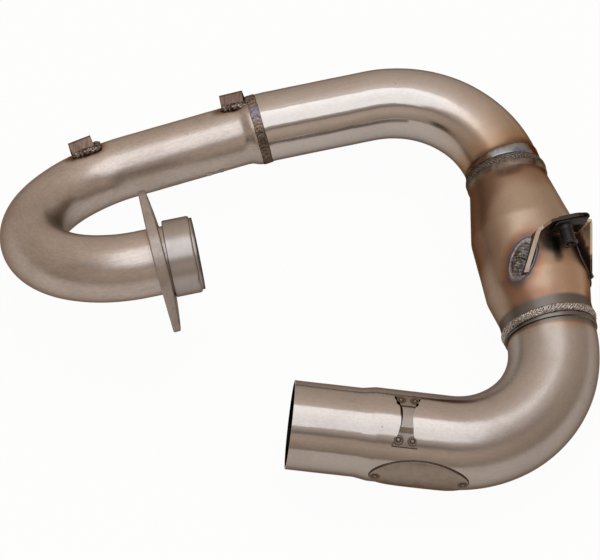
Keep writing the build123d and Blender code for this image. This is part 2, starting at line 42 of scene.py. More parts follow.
# Sizes repeated from the part's source, in millimetres and degrees
HEAD_R, MID_R, MID_END_R, OUT_R, SLIP_R, CHAMBER_R, WALL = 20.0, 22.5, 24.1, 27.5, 26.2, 32.5, 1.2
PORT, PORT_HEADING, PORT_PITCH, PORT_ROLL = (-58.5, -20.4, 85.5), -169.5, -4.3, -150.6
PORT_STRAIGHT, LIP_R, LIP_LENGTH = 32.1, 21.5, 1.6
RETURN_R, RETURN_FIRST, RETURN_TWIST, RETURN_SECOND, UPPER_STRAIGHT = 66.0, 115.0, -5.0, 63.5, 88.0
FLARE_LENGTH, JOINT_LAND = 6.5, 4.0
KINK_ROLL, KINK_R, KINK_ANGLE, MID_STRAIGHT = 63.0, 60.0, 4.5, 64.0
ELBOW_ROLL, ELBOW_R, ELBOW_ANGLE, SPIGOT = -26.5, 74.0, 89.5, 8.0
CHAMBER_LENGTH, CHAMBER_END, NECK, INLET_SHOULDER, OUTLET_SHOULDER = 110.0, 105.0, 7.0, 33.0, 17.0
NECK_CLEARANCE = 0.1
INLET_NECK_R, OUTLET_NECK_R = MID_END_R + NECK_CLEARANCE + WALL, OUT_R + NECK_CLEARANCE + WALL
TAIL_ROLL, TAIL_R, TAIL_ANGLE, TAIL_STRAIGHT = -10.0, 63.0, 106.0, 92.0
SLIP_LENGTH, SLIP_CONE, RIM_HEIGHT, RIM_WIDTH = 40.0, 8.0, 1.1, 2.4
COLLAR_R, COLLAR_LENGTH, COLLAR_ROUND = 23.0, 16.0, 1.5
TAB_AZIMUTH, TAB_FOOT, TAB_BEAD_LENGTH, TAB_YAW = -97.0, 14.0, 17.0, 10.0
FRONT_TAB_BACK, REAR_TAB_ALONG = 21.0, 76.5
TACK_ALONG, TACK_AZIMUTH, TACK_R, TACK_HEIGHT = (49.5, 57.5), 50.0, 2.6, 1.0
BRACKET_AZIMUTH, BRACKET_ALONG, BRACKET_LEG, BRACKET_SPREAD, BRACKET_FLAT = -120.8, 58.0, 25.0, 25.2, 30.0
BRACKET_SHEET, RIGHT_RISE, TONGUE_RISE, TONGUE_RIGHT_BASE, TONGUE_RIGHT_TOP = 2.0, 1.5, 21.0, 10.0, 6.5
TONGUE_SHOULDER, SHOULDER_RISE, TONGUE_LEFT_TOP = 11.5, 12.6, -2.5
SCREW_RISE, BARREL_R, BARREL_LENGTH, THREAD_R = 8.5, 4.2, 12.0, 2.5
CLIP_SHEET, CLIP_CLEARANCE, CLIP_LOOP, CLIP_DROP = 0.9, 0.15, 1.6, 0.7
CLIP_LOW, CLIP_HIGH, CLIP_REACH = 6.0, 11.0, 8.5
SIDE_SLOPE = (TONGUE_RIGHT_BASE - TONGUE_RIGHT_TOP) / (TONGUE_RISE - RIGHT_RISE)
CLIP_LEAN = math.atan(SIDE_SLOPE)
CLIP_OFFSET = BRACKET_SHEET / 2 + CLIP_CLEARANCE + CLIP_SHEET / 2
CLIP_EDGE = (TONGUE_RIGHT_BASE - SIDE_SLOPE * (SCREW_RISE - RIGHT_RISE)) * math.cos(CLIP_LEAN) + CLIP_LOOP
STRAP_ALONG, STRAP_AZIMUTH, STRAP_SHEET, STRAP_WIDTH = 26.5, -92.0, 1.2, 15.0
PLATE_ALONG, PLATE_AZIMUTH, PLATE_SHEET, PLATE_LENGTH, PLATE_WIDTH = 15.0, -172.0, 1.0, 58.0, 28.0
SPOT_R, SPOT_INSET, SPOT_TURN = 2.4, 3.4, 26.0


# Frames along the pipe: Z runs with the gas

def rolled(at, angle):
    return at @ Matrix.Rotation(math.radians(angle), 4, "Z")


def along(at, distance):
    return at @ Matrix.Translation((0, 0, distance))


def bent(at, radius, angle):
    turn = math.radians(angle)
    move = Matrix.Translation((radius * (1 - math.cos(turn)), 0, radius * math.sin(turn)))
    return at @ move @ Matrix.Rotation(turn, 4, "Y")


def port_frame():
    head, pitch = math.radians(PORT_HEADING), math.radians(PORT_PITCH)
    z = Vector((math.cos(pitch) * math.cos(head), math.cos(pitch) * math.sin(head), math.sin(pitch)))
    x = Vector((-math.sin(head), math.cos(head), 0))
    at = Matrix((x, z.cross(x), z)).transposed().to_4x4()
    at.translation = PORT
    return rolled(at, PORT_ROLL)


class Run:
    """A pipe's centreline: straights, bends and rolls from a start frame."""

    def __init__(self, at, moves):
        self.legs, self.length, twist = [], 0.0, 0.0
        for kind, *size in moves:
            if kind == "roll":
                at = rolled(at, size[0])
                twist += size[0]
                continue
            length = size[0] if kind == "straight" else size[0] * math.radians(size[1])
            self.legs.append((self.length, kind, size, at, twist))
            at = along(at, length) if kind == "straight" else bent(at, *size)
            self.length += length
        self.end = at

    def at(self, s):
        """The frame at a distance along, without the run's rolls."""
        start, kind, size, at, twist = [leg for leg in self.legs if leg[0] <= max(s, 0)][-1]
        if kind == "straight":
            here = along(at, s - start)
        else:
            here = bent(at, size[0], math.degrees((s - start) / size[0]))
        return rolled(here, -twist)


port = port_frame()
head_run = Run(port, (("straight", PORT_STRAIGHT), ("bend", RETURN_R, RETURN_FIRST), ("roll", RETURN_TWIST),
                      ("bend", RETURN_R, RETURN_SECOND), ("straight", UPPER_STRAIGHT)))
mid_joint = head_run.end
return_out = along(mid_joint, -UPPER_STRAIGHT)
return_mid = rolled(bent(along(port, PORT_STRAIGHT), RETURN_R, RETURN_FIRST), RETURN_TWIST)
mid_run = Run(mid_joint, (("straight", JOINT_LAND), ("roll", KINK_ROLL), ("bend", KINK_R, KINK_ANGLE),
                          ("straight", MID_STRAIGHT), ("roll", ELBOW_ROLL), ("bend", ELBOW_R, ELBOW_ANGLE),
                          ("straight", SPIGOT)))
chamber_in = along(mid_run.end, -SPIGOT)
chamber_out = along(chamber_in, CHAMBER_LENGTH)
tail_in = rolled(chamber_out, TAIL_ROLL)
tail_out = bent(tail_in, TAIL_R, TAIL_ANGLE)
TAIL_LEAD = 12.0
tail_run = Run(along(chamber_out, -TAIL_LEAD), (("straight", TAIL_LEAD), ("roll", TAIL_ROLL),
                                                ("bend", TAIL_R, TAIL_ANGLE), ("straight", TAIL_STRAIGHT)))
chamber_run = Run(chamber_in, (("straight", CHAMBER_END),))
HEAD_END = head_run.length
MID_END = mid_run.length - SPIGOT
ELBOW_FROM = MID_END - ELBOW_R * math.radians(ELBOW_ANGLE)
TAIL_END = tail_run.length


# Mesh making

def give(piece, name, values):
    """Stores a place or a colour at each point of a mesh."""
    layer = piece.data.attributes.new(name, "FLOAT_VECTOR", "POINT")
    layer.data.foreach_set("vector", np.asarray(values, np.float32).ravel())


def mesh_object(name, verts, faces, sharp=38, **layers):
    """A smooth piece of the header. Its layers are pipe, places for the grain, and tint, colours."""
    mesh = bpy.data.meshes.new(name)
    mesh.from_pydata([tuple(v) for v in np.asarray(verts, float) * MM], [], faces)
    mesh.update()
    mesh.shade_smooth()
    mesh.set_sharp_from_angle(angle=math.radians(sharp))
    piece = bpy.data.objects.new(name, mesh)
    scene.collection.objects.link(piece)
    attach(piece, "header")
    for layer, values in layers.items():
        give(piece, layer, values)
    return piece


def dress(piece, material):
    piece.data.materials.clear()
    piece.data.materials.append(material)


def stand_in(piece, node, material):
    """Puts a piece in its solid's place."""
    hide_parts(node)
    dress(piece, material)


def wrap(rows, columns, close_rows=False, caps=False):
    """Faces of a grid that is closed round its columns, with its rows joined, capped or left open."""
    faces = []
    for i in range(rows if close_rows else rows - 1):
        k = (i + 1) % rows
        for j in range(columns):
            n = (j + 1) % columns
            faces.append((i * columns + j, i * columns + n, k * columns + n, k * columns + j))
    if caps:
        faces.append(tuple(range(columns - 1, -1, -1)))
        faces.append(tuple(range((rows - 1) * columns, rows * columns)))
    return faces


def turned(outline, columns):
    """Points round the Z axis for an outline of (radius, distance)."""
    turns = [math.tau * j / columns for j in range(columns)]
    return [(r * math.cos(a), r * math.sin(a), s) for r, s in outline for a in turns]


def placed(at, points):
    return np.asarray(points) @ np.array(at.to_3x3()).T + np.array(at.translation)


def wave(point, scale):
    return noise.noise(Vector(point) * scale)


def blend(a, b, part):
    """Mixes two colours, or rows of them, by one part each."""
    part = np.clip(part, 0, 1)
    part = part * part * (3 - 2 * part)
    return np.asarray(a) * (1 - part[..., None]) + np.asarray(b) * part[..., None]


def ease(value, low, high):
    return np.clip((np.asarray(value, float) - low) / (high - low), 0, 1)


def clamp(value, low=0.0, high=1.0):
    return min(high, max(low, value))


def between(dark, light, tone):
    return [d + (b - d) * tone for d, b in zip(dark, light)]


# Dark for the pipes' insides and the port's lip, and painted shadow under the clip nut
SOOT_AND_SHADE = (0.035, 0.030, 0.027)


def tube(name, run, spots, outer, inner, paint, columns, wobble):
    """A swept pipe with walls. outer and inner give radii for a distance, paint the outside's colours."""
    turns = np.linspace(0, math.tau, columns, endpoint=False)
    circle = np.column_stack([np.cos(turns), np.sin(turns)])
    rings = [(s, outer(s)) for s in spots] + [(s, inner(s)) for s in reversed(spots)]
    verts, straight = [], []
    for i, (s, radius) in enumerate(rings):
        size = np.full(columns, radius)
        if i < len(spots):
            for j in range(columns):
                p = (circle[j, 0] * radius, circle[j, 1] * radius, s)
                size[j] += wobble * (wave(p, 0.05) + 0.5 * wave(p, 0.12))
        flat = np.column_stack([circle * size[:, None], np.zeros(columns)])
        verts.append(placed(run.at(s), flat))
        straight.append(np.column_stack([circle * radius, np.full(columns, s)]))
    verts, straight = np.concatenate(verts), np.concatenate(straight)
    shown = len(spots) * columns
    tint = np.tile(SOOT_AND_SHADE, (len(verts), 1))
    tint[:shown] = paint(straight[:shown], verts[:shown])
    return mesh_object(name, verts, wrap(len(rings), columns, True), pipe=straight, tint=tint)


def spots_to(start, end, step, *cuts):
    """Distances for rings, close together on both sides of each cut."""
    count = math.ceil((end - start) / step)
    spots = list(np.linspace(start, end, count + 1))
    for cut in cuts:
        spots += [cut - 0.02, cut + 0.02]
    return sorted(s for s in spots if start <= s <= end)


def profile(*points):
    xs, ys = [p[0] for p in points], [p[1] for p in points]
    return lambda s: float(np.interp(s, xs, ys))


def crescent(phase, across):
    """The overlapping scales of a weld bead, from 0 to 1."""
    return 1 - abs(((phase - 0.5 * across * across) % 1.0) * 2 - 1) ** 1.5


def weld(stem, material, verts, faces, local, tint):
    """A rippled bead in place of its smooth solid."""
    bead = mesh_object(stem + "_bead", verts, faces, sharp=70, pipe=local, tint=tint)
    stand_in(bead, stem + "_weld", material)


def seam(stem, material, at, low, high, height, pitch, ripple, grit, dark, light, patch=None, crown=0.6):
    """A weld round a pipe, from (distance, radius) low to high. patch can change its colours."""
    verts, tint = [], []
    steps, rows = 640, 24
    for i in range(rows + 3):
        for j in range(steps):
            turn = math.tau * j / steps
            share = i / (rows - 1) if i < rows else 1 - (i - rows) / 2
            s = low[0] + (high[0] - low[0]) * share
            r = low[1] + (high[1] - low[1]) * share
            spot = Vector((math.cos(turn) * r, math.sin(turn) * r, s))
            if i < rows:
                t = 2 * share - 1
                rise = max(0.0, 1 - t * t) ** crown
                phase = turn * r / pitch + 0.9 * wave(spot, 0.12)
                mark = crescent(phase, t)
                fleck = wave(spot, 1.1) + 0.7 * wave(spot, 2.6)
                r += rise * (height + ripple * (mark - 0.5) + grit * fleck + 0.2 * wave(spot, 0.2))
                s += 0.30 * wave(spot, 0.16)
                tone = clamp(0.25 + 0.45 * mark * rise + 0.55 * fleck)
                colour = between(dark, light, tone)
                tint.append(patch(colour, at, spot, tone) if patch else colour)
            else:
                r -= 0.5
                tint.append(dark)
            verts.append((math.cos(turn) * r, math.sin(turn) * r, s))
    weld(stem, material, placed(at, verts), wrap(rows + 3, steps, True), verts, tint)


def lathe(name, at, outline, columns):
    """A turned piece from a closed outline of (radius, distance)."""
    verts = turned(outline, columns)
    return mesh_object(name, placed(at, verts), wrap(len(outline), columns, True), pipe=verts)


def fillet(stem, material, path, size, pitch, dark, light, steps=96, around=28):
    """A lumpy weld along a path of (point, outward) pairs."""
    points, outs = np.array(path).transpose(1, 0, 2)
    verts, tint, local = [], [], []
    length = np.linalg.norm(np.diff(points, axis=0), axis=1).sum()
    for i in range(steps):
        u = i / (steps - 1)
        f = u * (len(path) - 1)
        k = min(int(f), len(path) - 2)
        p = points[k] + (points[k + 1] - points[k]) * (f - k)
        out = Vector(outs[k] + (outs[k + 1] - outs[k]) * (f - k)).normalized()
        run = Vector(points[k + 1] - points[k]).normalized()
        side = run.cross(out)
        taper = min(1.0, (1 - (2 * u - 1) ** 6)) ** 0.5
        for j in range(around):
            turn = math.tau * j / around
            spot = Vector((u * length, 3 * math.cos(turn), 3 * math.sin(turn)))
            mark = crescent(u * length / pitch, math.cos(turn))
            fleck = wave(spot, 0.9) + 0.5 * wave(spot, 2.0)
            swell = 1 + 0.10 * (mark - 0.5) + 0.24 * fleck + 0.20 * wave(spot, 0.3)
            r = max(0.05, taper * size * swell)
            verts.append(Vector(p) + side * (r * 1.15 * math.cos(turn)) + out * (r * math.sin(turn)))
            tint.append(between(dark, light, clamp(0.15 + 0.25 * mark + 0.9 * fleck)))
            local.append(spot)
    weld(stem, material, verts, wrap(steps, around, caps=True), local, tint)


# Materials

EDGE_TINT = (0.36, 0.29, 0.24, 1)
BURN_WIDTH = 1.1


class Tree:
    """The nodes of a material or a world, with short ways to add and join them."""

    def __init__(self, owner):
        owner.use_nodes = True
        self.owner = owner
        self.nodes = owner.node_tree.nodes
        self.links = owner.node_tree.links
        self.shader = self.nodes.get("Principled BSDF")

    def join(self, value, socket):
        if isinstance(value, bpy.types.NodeSocket):
            self.links.new(value, socket)
        elif isinstance(value, (tuple, list)) and len(value) == 3 and socket.type == "RGBA":
            socket.default_value = (*value, 1)
        else:
            socket.default_value = value

    def add(self, kind, inputs, **settings):
        """The outputs of a new node."""
        node = self.nodes.new("ShaderNode" + kind)
        for name, value in settings.items():
            setattr(node, name, value)
        for name, value in inputs.items():
            self.join(value, node.inputs[name])
        return node.outputs

    def attribute(self, name, output="Vector"):
        return self.add("Attribute", {}, attribute_name=name)[output]

    def object_mm(self):
        return self.scaled(self.add("TexCoord", {})["Object"], (1000, 1000, 1000))

    def scaled(self, vector, by):
        return self.add("VectorMath", {0: vector, 1: by}, operation="MULTIPLY")[0]

    def radius_from(self, at, vector):
        """Distance of a point from a frame's Z axis, in millimetres."""
        away = self.add("VectorMath", {0: vector, 1: at.translation}, operation="SUBTRACT")[0]
        across = self.add("VectorMath", {0: away, 1: at.to_3x3().col[2]}, operation="CROSS_PRODUCT")[0]
        return self.add("VectorMath", {0: across}, operation="LENGTH")["Value"]

    def parts(self, vector):
        return self.add("SeparateXYZ", {0: vector})

    def noise(self, vector, scale, detail=3.0, rough=0.55, distortion=0.0):
        inputs = {"Vector": vector, "Scale": scale, "Detail": detail, "Roughness": rough}
        return self.add("TexNoise", {**inputs, "Distortion": distortion})["Fac"]

    def cells(self, vector, scale):
        return self.add("TexVoronoi", {"Vector": vector, "Scale": scale})["Distance"]

    def math(self, kind, a, b=0.0, clamp=False):
        return self.add("Math", {0: a, 1: b}, operation=kind, use_clamp=clamp)[0]

    def varied(self, value, pattern, strength, clamp=False):
        """A value made to change with a pattern, about the pattern's middle."""
        change = self.math("MULTIPLY", self.math("SUBTRACT", pattern, 0.5), strength)
        return self.math("ADD", value, change, clamp)

    def span(self, value, low, high, start=0.0, end=1.0):
        inputs = {"Value": value, "From Min": low, "From Max": high, "To Min": start, "To Max": end}
        return self.add("MapRange", inputs, interpolation_type="SMOOTHSTEP")["Result"]

    def mix(self, part, a, b):
        return self.add("Mix", {0: part, 6: a, 7: b}, data_type="RGBA")[2]

    def ramp(self, value, stops):
        node = self.nodes.new("ShaderNodeValToRGB")
        self.join(value, node.inputs[0])
        band = node.color_ramp.elements
        band.remove(band[1])
        band[0].position, band[0].color = stops[0][0], (*stops[0][1], 1)
        for place, colour in stops[1:]:
            band.new(place).color = (*colour, 1)
        return node.outputs[0]

    def bump(self, height, strength, distance, under=None):
        inputs = {"Height": height, "Strength": strength, "Distance": distance * MM}
        if under is not None:
            inputs["Normal"] = under
        return self.add("Bump", inputs)[0]

    def finish(self, colour, rough, normal=None, metallic=1.0):
        self.join(colour, self.shader.inputs["Base Color"])
        self.join(rough, self.shader.inputs["Roughness"])
        self.shader.inputs["Metallic"].default_value = metallic
        if metallic:
            self.shader.inputs["Specular Tint"].default_value = EDGE_TINT
        if normal is not None:
            self.links.new(normal, self.shader.inputs["Normal"])
        return self.owner


def material_tree(name):
    return Tree(bpy.data.materials.new(name))


def pipe_metal(name, polish, streak, stain, swell=0.0):
    """Heat tint under drawn streaks, stains, specks and scratches. polish lists (distance, roughness)."""
    t = material_tree(name)
    at = t.attribute("pipe")
    s = t.parts(at)[2]
    drawn = t.noise(t.scaled(at, (1.0, 1.0, 0.045)), 1.1, 4.0, 0.6)
    cloud = t.noise(at, 0.035, 4.0, 0.6, 0.4)
    smudge = t.noise(t.scaled(at, (1.0, 1.0, 0.35)), 0.11, 5.0, 0.65)
    fine = t.noise(t.scaled(at, (1.0, 1.0, 0.08)), 3.0, 2.0, 0.5)
    grain = t.noise(t.scaled(at, (1.0, 1.0, 0.5)), 0.75, 2.0, 0.6)
    base = t.attribute("tint", "Color")
    base = t.mix(t.span(grain, 0.35, 0.7, 0.0, 0.30 * stain), base, (0.25, 0.21, 0.18))
    base = t.mix(t.span(cloud, 0.40, 0.72, 0.0, 0.22 * stain), base, (0.20, 0.165, 0.14))
    base = t.mix(t.span(smudge, 0.55, 0.75, 0.0, 0.45 * stain), base, (0.26, 0.22, 0.19))
    speck = t.span(t.cells(at, 0.11), 0.035, 0.060, 1.0, 0.0)
    few = t.span(t.noise(at, 0.06, 1.0), 0.57, 0.61, 0.0, 0.7)
    base = t.mix(t.math("MULTIPLY", speck, few), base, (0.10, 0.075, 0.06))
    scratch = t.noise(t.scaled(at, (0.5, 0.5, 0.05)), 2.2, 5.0, 0.75)
    base = t.mix(t.span(scratch, 0.69, 0.76, 0.0, 0.3), base, (0.16, 0.13, 0.11))
    base = t.mix(t.span(drawn, 0.3, 0.75, 0.0, 0.18 * streak), base, (0.24, 0.21, 0.18))
    rough = polish[0][1]
    for (a, low), (b, high) in zip(polish, polish[1:]):
        rough = t.math("ADD", rough, t.span(s, a, b, 0.0, high - low))
    rough = t.varied(rough, drawn, 0.10 * streak)
    rough = t.varied(rough, cloud, 0.10, clamp=True)
    normal = t.bump(fine, 0.10 * streak, 0.05)
    if swell:
        normal = t.bump(t.noise(t.scaled(at, (1.0, 1.0, 0.5)), 0.10, 3.0, 0.5), swell, 1.0, normal)
    return t.finish(base, rough, normal)


def weld_metal(name, shine, grit=0.5):
    """A bead in its painted colours, with fine scale on it."""
    t = material_tree(name)
    at = t.attribute("pipe")
    fleck = t.noise(at, 1.6, 4.0, 0.65)
    base = t.mix(t.span(fleck, 0.35, 0.7, 0.0, 0.5), t.attribute("tint", "Color"), (0.06, 0.05, 0.045))
    rough = t.span(fleck, 0.25, 0.8, shine, shine + 0.25)
    return t.finish(base, rough, t.bump(t.noise(at, 2.0, 3.0, 0.6), grit, 0.25))


def turned_metal(name, colour, rough, dark):
    """Turned or brushed round an axis: fine rings and slow changes round them."""
    t = material_tree(name)
    at = t.attribute("pipe")
    rings = t.noise(t.scaled(at, (0.02, 0.02, 1.0)), 4.0, 4.0, 0.7)
    slow = t.noise(at, 0.06, 3.0, 0.6)
    base = t.mix(t.span(rings, 0.3, 0.7, 0.0, 0.22), colour, dark)
    base = t.mix(t.span(slow, 0.45, 0.75, 0.0, 0.30), base, dark)
    return t.finish(base, t.varied(rough, rings, 0.14), t.bump(rings, 0.10, 0.06))


def sheet_metal(name, colour, rough, dirt=(0.16, 0.12, 0.09), dirt_part=0.4, stretch=(1, 1, 1), lines=0.0,
                painted_shade=None, burns=()):
    """Sheet steel with fine grain, brush lines and stains, and painted shade: a pipe's frame and the
    distances from its axis at which the sheet is dark and unshaded. burns are the frames of spot welds."""
    t = material_tree(name)
    at = t.object_mm()
    cloud = t.noise(at, 0.14, 4.0, 0.6)
    fine = t.noise(t.scaled(at, stretch), 2.2, 3.0, 0.6)
    base = t.mix(t.span(cloud, 0.42, 0.72, 0.0, dirt_part), colour, dirt)
    base = t.mix(t.span(fine, 0.3, 0.75, 0.0, 0.18 + lines), base, tuple(c * 0.5 for c in colour))
    # Painted shade: dark at one distance from the pipe's axis, unshaded at the other
    if painted_shade:
        pipe_frame, dark, unshaded = painted_shade
        shaded_part = t.span(t.radius_from(pipe_frame, at), dark, unshaded, 1.0, 0.0)
        base = t.mix(shaded_part, base, (0.045, 0.036, 0.030))
    for spot in burns:
        burnt = t.span(t.radius_from(spot, at), SPOT_R, SPOT_R + BURN_WIDTH, 0.85, 0.0)
        base = t.mix(burnt, base, (0.060, 0.042, 0.032))
    return t.finish(base, t.varied(rough, fine, 0.18), t.bump(fine, 0.12, 0.12))


# Colours

STEEL = np.array((0.510, 0.478, 0.452))
SATIN = np.array((0.525, 0.470, 0.432))
OUTLET = np.array((0.440, 0.405, 0.380))
TAN = np.array((0.44, 0.325, 0.235))
GOLD = np.array((0.43, 0.29, 0.18))
RUST = np.array((0.25, 0.145, 0.095))
PURPLE = np.array((0.17, 0.125, 0.16))
BLUE = np.array((0.13, 0.17, 0.27))
PALE_BLUE = np.array((0.36, 0.40, 0.42))
GREY = np.array((0.33, 0.31, 0.29))

# Directions that place the tints and the painted shade on the middle joint's weld
TOP_FRONT = Vector((0.0057, -0.534, 0.845))
TOP_BACK = Vector((0.0047, 0.8454, 0.5340))


def uneven(points, scale, strength):
    """Noise for each point, to break up an even edge."""
    return strength * np.array([wave(p, scale) for p in points])


# Welds' places, needed for the heat round them

def tab_frame(at):
    return rolled(at, TAB_AZIMUTH) @ Matrix.Rotation(math.radians(-TAB_YAW), 4, "X")


TABS = {
    "front": tab_frame(bent(return_mid, RETURN_R, RETURN_SECOND - FRONT_TAB_BACK)),
    "rear": tab_frame(along(return_out, REAR_TAB_ALONG)),
}
HEAD_LINE = [np.array(head_run.at(s).translation) for s in np.arange(0, HEAD_END, 1.0)]
TAB_BEAD_RISE, TAB_END_GAP, TAB_CORNER = 0.7, 0.8, 4.0


def tab_path(at):
    """The tab's near foot and the end behind it, laid on the head pipe."""
    path, half = [], TAB_BEAD_LENGTH / 2
    corners = [(TAB_FOOT, d) for d in np.linspace(-half, half, 9)]
    corners += [(turn, half + TAB_END_GAP) for turn in np.linspace(TAB_FOOT - TAB_CORNER, -TAB_FOOT, 7)]
    for turn, d in corners:
        turn = math.radians(turn)
        p = np.array(at @ Vector((HEAD_R * math.cos(turn), HEAD_R * math.sin(turn), d)))
        axis = min(HEAD_LINE, key=lambda q: np.linalg.norm(p - q))
        out = (p - axis) / np.linalg.norm(p - axis)
        path.append((axis + out * (HEAD_R + TAB_BEAD_RISE), out))
    return path


def gap_to(points, path):
    """Distance of each point from a path."""
    line = np.array(path)[:, 0]
    return np.linalg.norm(points[:, None] - line, axis=2).min(axis=1)


bracket_frame = rolled(chamber_in, BRACKET_AZIMUTH)

# The bracket's welds on the unrolled chamber: (arc from the bracket's middle, distance along)
BEAD_CENTRE = Vector((26.2, 72.5))
BEAD_AXIS = Vector((0.58, 0.815)).normalized()
BEAD_ACROSS = Vector((BEAD_AXIS.y, -BEAD_AXIS.x))
BEAD_HALF_LONG, BEAD_HALF_WIDE = 15.5, 8.4


def chamber_radius(s):
    """The chamber's outside, with its corners eased."""
    plain = profile((0, INLET_NECK_R), (NECK, INLET_NECK_R), (NECK + INLET_SHOULDER, CHAMBER_R),
                    (CHAMBER_END - NECK - OUTLET_SHOULDER, CHAMBER_R), (CHAMBER_END - NECK, OUTLET_NECK_R),
                    (CHAMBER_END, OUTLET_NECK_R))
    return sum(plain(s + d) for d in np.linspace(-1.5, 1.5, 7)) / 7


def over_chamber(arc, s, rise=0.0):
    """A point over the unrolled chamber."""
    turn = arc / CHAMBER_R
    radius = chamber_radius(s) + rise
    return bracket_frame @ Vector((radius * math.cos(turn), radius * math.sin(turn), s))


# Pipes

def paint_head(local, world):
    colour = np.tile(SATIN, (len(local), 1))
    for at in TABS.values():
        gap = gap_to(world, tab_path(at)) + uneven(local, 0.25, 1.2)
        colour = blend(RUST * 0.85, colour, ease(gap, 1.5, 8.0))
    end = HEAD_END - local[:, 2] + uneven(local, 0.18, 2.0)
    colour = blend(TAN * 0.85, colour, ease(end, 1.5, 7.0) * 0.6 + 0.4)
    return blend(SOOT_AND_SHADE, colour, ease(local[:, 2], -0.2, 0.0))


def paint_mid(local, world):
    colour = np.tile(STEEL, (len(local), 1))
    gap = MID_END - local[:, 2] + uneven(local, 0.10, 2.5)
    colour = blend(STEEL * (1.0, 0.93, 0.86), colour, ease(gap, 35, 75))
    colour = blend(TAN * 1.02, colour, ease(gap, 16, 42))
    colour = blend(GOLD * 0.9, colour, ease(gap, 12.5, 24))
    colour = blend(RUST * 0.75, colour, ease(gap, 11, 15.5))
    band = uneven(local, 0.085, 1.0) + uneven(local, 0.45, 0.35)
    ring = blend(PALE_BLUE * 0.75, GREY * (0.50, 0.43, 0.36), ease(band, -0.35, 0.05))
    ring = blend(BLUE, ring, ease(band, -0.65, -0.40))
    ring = blend(ring, RUST * (0.50, 0.42, 0.42), ease(band, 0.0, 0.35))
    return blend(ring, colour, ease(MID_END - local[:, 2], 10.4, 10.9))


def paint_outlet(local, world):
    s = local[:, 2]
    colour = np.tile(OUTLET, (len(local), 1))
    gap = s - TAIL_LEAD + uneven(local, 0.09, 4.0)
    colour = blend(GOLD * (1.0, 1.02, 1.05), colour, ease(gap, 1.5, 13))
    colour = blend(RUST * (1.0, 1.1, 1.2), colour, ease(s - TAIL_LEAD, 5.0, 7.5))
    return blend(GREY * 0.48, colour, ease(s - TAIL_LEAD, 4.6, 5.6))


def paint_chamber(local, world):
    s = local[:, 2]
    turn = np.arctan2(local[:, 1], local[:, 0]) - math.radians(BRACKET_AZIMUTH)
    turn = (turn + math.pi) % math.tau - math.pi
    arc = turn * CHAMBER_R
    colour = np.tile((0.45, 0.352, 0.27), (len(local), 1))
    shaky = s + uneven(local, 0.07, 5.0)
    colour = blend(colour, (0.39, 0.272, 0.192), ease(shaky, 52, 78))
    colour = blend(RUST * (1.15, 1.1, 1.05), colour, ease(shaky, 6, 26))
    # Darker band past the inlet lip: heat tint and a painted shadow under the lip
    colour = blend(RUST * (0.42, 0.44, 0.5), colour, ease(shaky, 7, 13))
    colour = blend(colour, RUST * (1.2, 1.05, 1.0), ease(shaky, 88, 99))
    # Painted highlight: a lighter patch towards the outlet end, near the bracket's middle
    painted_highlight = ease(s, 70, 84) * ease(np.abs(arc + 3.0), 17, 7)
    colour = blend(colour, (0.56, 0.39, 0.275), painted_highlight)
    flank = ease(arc + 14 * ease(s, 44, 14) + uneven(local, 0.06, 8.0), 34, 52)
    colour = blend(colour, RUST * (0.85, 0.85, 0.9), flank * ease(s, 78, 58))
    colour = blend(colour, (0.37, 0.29, 0.225), flank * ease(s, 60, 80))
    for side in (1, -1):
        across = side * arc - BEAD_CENTRE.x
        distance = s - BEAD_CENTRE.y
        long = (across * BEAD_AXIS.x + distance * BEAD_AXIS.y) / BEAD_HALF_LONG
        wide = (across * BEAD_ACROSS.x + distance * BEAD_ACROSS.y) / BEAD_HALF_WIDE
        gap = np.hypot(long, wide) + uneven(local, 0.2, 0.10)
        colour = blend(RUST * (1.3, 1.15, 1.0), colour, ease(gap, 1.2, 1.9))
        colour = blend(RUST * 0.8, colour, ease(gap, 1.05, 1.4))
        colour = blend(PURPLE * 0.8, colour, ease(gap, 1.0, 1.2))
    # Painted shadow and reflection of the clip nut on the chamber under it
    under = np.hypot((arc - 5.5) / 11.0, (s - 66.0) / 6.5) + uneven(local, 0.25, 0.15)
    colour = blend(SOOT_AND_SHADE, colour, ease(under, 0.45, 1.35))
    lip = uneven(local, 0.5, 0.25) + uneven(local, 0.12, 0.4)
    lip_colour = blend(GREY * (0.62, 0.55, 0.48), RUST * (0.36, 0.38, 0.42), ease(lip, -0.15, 0.25))
    colour = blend(lip_colour, colour, ease(s, 4.0, 5.0))
    return blend(colour, GREY * (0.46, 0.45, 0.44), ease(s, 97.6, 98.4))


def pipe_skin(node, slot, finish, *shape):
    """A pipe's outside and inside in place of its solid. shape is what a tube takes after its name."""
    stand_in(tube(node + "_skin", *shape), node, pipe_metal(node + "_metal", **finish))


FLARE_FROM = HEAD_END - JOINT_LAND - FLARE_LENGTH
FLARE_TO = HEAD_END - JOINT_LAND
FLARE_EASE = 0.35
head_outer = profile((-LIP_LENGTH, LIP_R), (-0.01, LIP_R), (0.01, HEAD_R),
                     (FLARE_FROM - 2, HEAD_R), (FLARE_FROM + 1, HEAD_R + FLARE_EASE),
                     (FLARE_TO - 1.5, MID_R - FLARE_EASE), (FLARE_TO + 1, MID_R), (HEAD_END, MID_R))
head_inner = profile((0, HEAD_R - WALL), (FLARE_FROM, HEAD_R - WALL), (FLARE_TO, MID_R - WALL))
pipe_skin("head_pipe", "satin_stainless", dict(polish=[(0, 0.31)], streak=0.8, stain=0.8),
          head_run, spots_to(-LIP_LENGTH, HEAD_END, 1.6, 0.0),
          head_outer, head_inner, paint_head, 120, 0.08)

